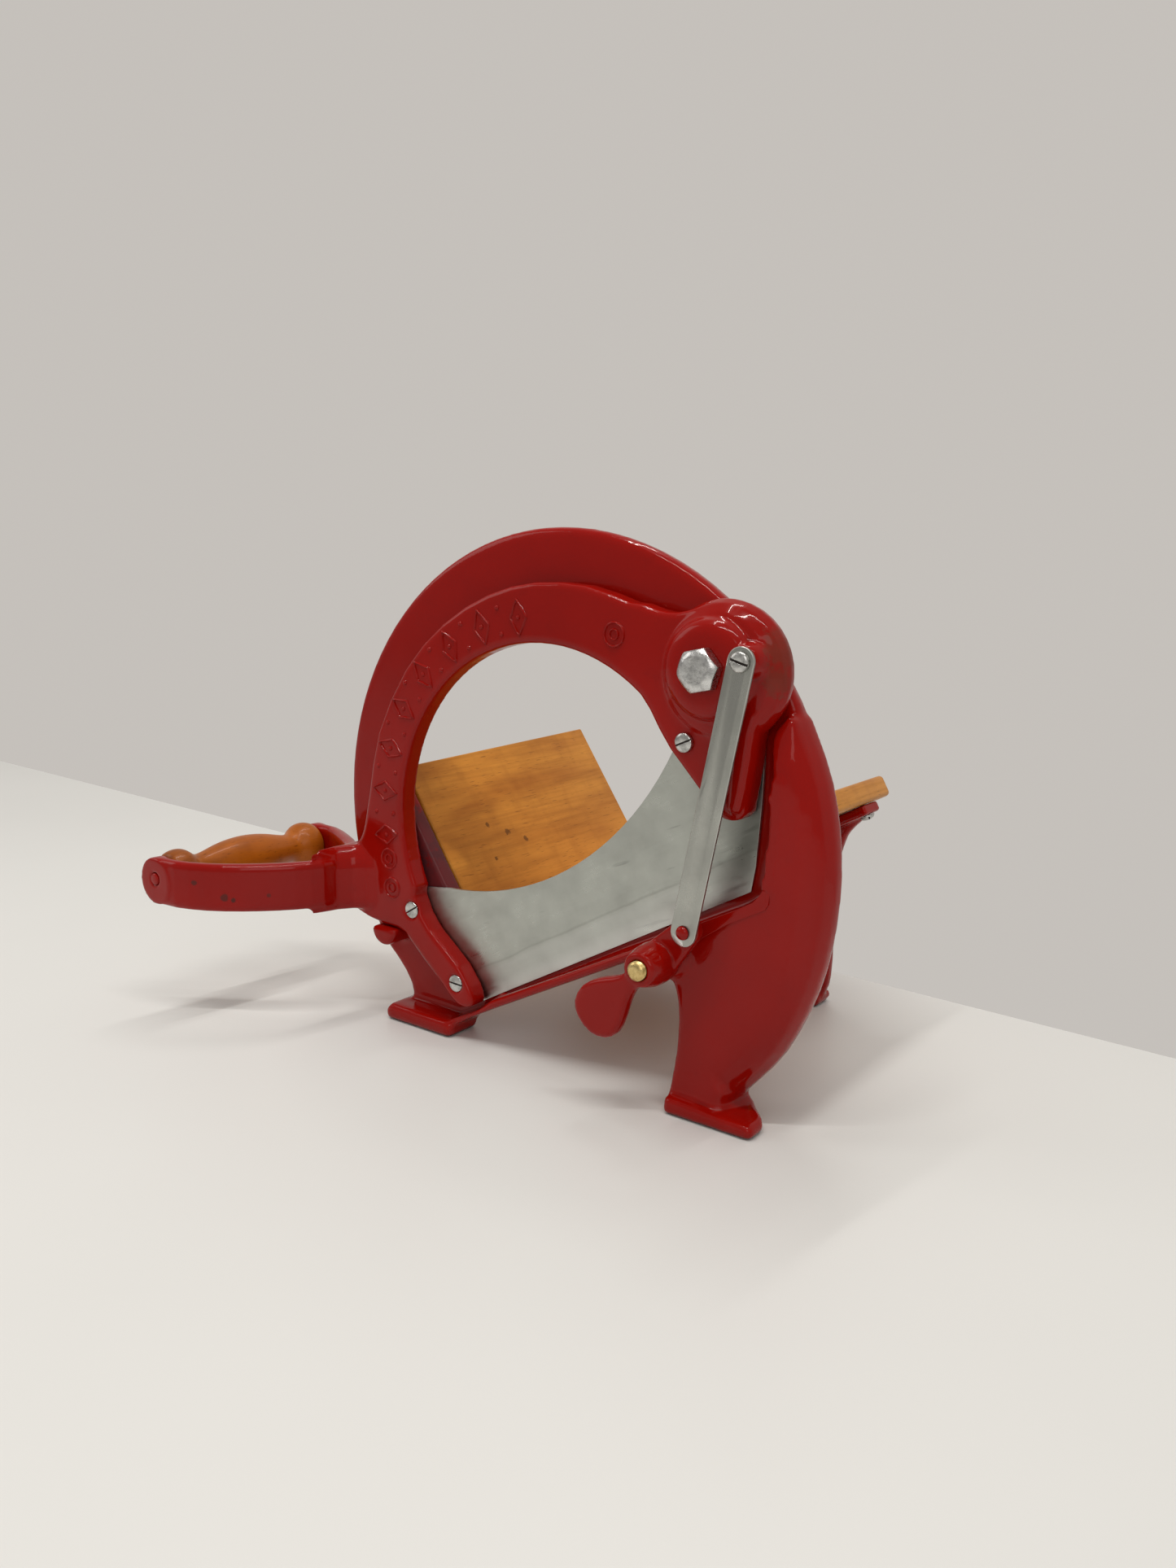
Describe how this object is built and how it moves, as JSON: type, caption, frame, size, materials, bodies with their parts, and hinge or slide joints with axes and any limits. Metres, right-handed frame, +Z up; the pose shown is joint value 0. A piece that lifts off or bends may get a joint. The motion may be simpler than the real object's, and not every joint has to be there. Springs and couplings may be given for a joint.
{
  "type": "hand bread and meat slicer",
  "caption": "Hand slicer with a curved blade in a swinging ring arm on a cast frame, a sloping wooden trough behind it, a stirrup handle with a turned grip, and a linked stop lever.",
  "frame": {"origin": "centre of the bounding box, on the surface the feet stand on", "axes": "+X along the frame, away from the handle; +Y from the blade to the back, along the loaf; +Z up"},
  "size_m": [0.3974, 0.285, 0.2875],
  "materials": {
    "red_enamel": "thick glossy red enamel over rough cast iron",
    "blade_steel": "satin brushed",
    "link_steel": "brushed, with worn bright edges",
    "zinc": "bright galvanised",
    "brass": "turned, slightly dull",
    "board_maple": "oiled amber wood, semi-gloss",
    "grip_wood": "turned and polished, darker than the boards"
  },
  "bodies": {
    "frame": {"frame": "red_enamel", "rear_stand": "red_enamel", "board_left": "board_maple", "board_right": "board_maple", "board_screw_left_front_low": "zinc", "board_screw_left_front_high": "zinc", "board_screw_left_rear_low": "zinc", "board_screw_left_rear_high": "zinc", "board_screw_right_front_low": "zinc", "board_screw_right_front_high": "zinc", "board_screw_right_rear_low": "zinc", "board_screw_right_rear_high": "zinc", "pivot_bolt": "zinc", "pivot_washer": "zinc", "pivot_nut": "zinc", "pivot_nut_washer": "zinc", "stop_stud": "brass"},
    "arm": {"blade_arm": "red_enamel", "blade": "blade_steel", "tail_screw_upper": "zinc", "tail_screw_lower": "zinc", "web_screw": "zinc", "finger_screw": "zinc", "link_screw": "zinc", "grip_rod": "red_enamel"},
    "link": {"link": "link_steel", "link_rivet": "red_enamel"},
    "stop_lever": {"stop_lever": "red_enamel"},
    "grip": {"handle_grip": "grip_wood"}
  },
  "joints": [
    {"name": "arm_swing", "type": "hinge", "parent": "frame", "child": "arm", "pos_m": [0.1412, -0.06155, 0.223], "axis": [0, 1, 0], "range_deg": [0, 55]},
    {"name": "link_swing", "type": "hinge", "parent": "arm", "child": "link", "pos_m": [0.1618, -0.07355, 0.2282], "axis": [0, 1, 0], "range_deg": [-60.8, 0]},
    {"name": "stop_swing", "type": "hinge", "parent": "frame", "child": "stop_lever", "pos_m": [0.1197, -0.07555, 0.0807], "axis": [0, 1, 0], "range_deg": [0, 56.1]},
    {"name": "grip_spin", "type": "hinge", "parent": "arm", "child": "grip", "pos_m": [-0.1838, -0.07855, 0.084], "axis": [0, 1, 0], "continuous": true}
  ],
  "couplings": [
    {"joint": "link_swing", "follows": "arm_swing", "ratio": -1.105},
    {"joint": "stop_swing", "follows": "arm_swing", "ratio": 1.02}
  ]
}
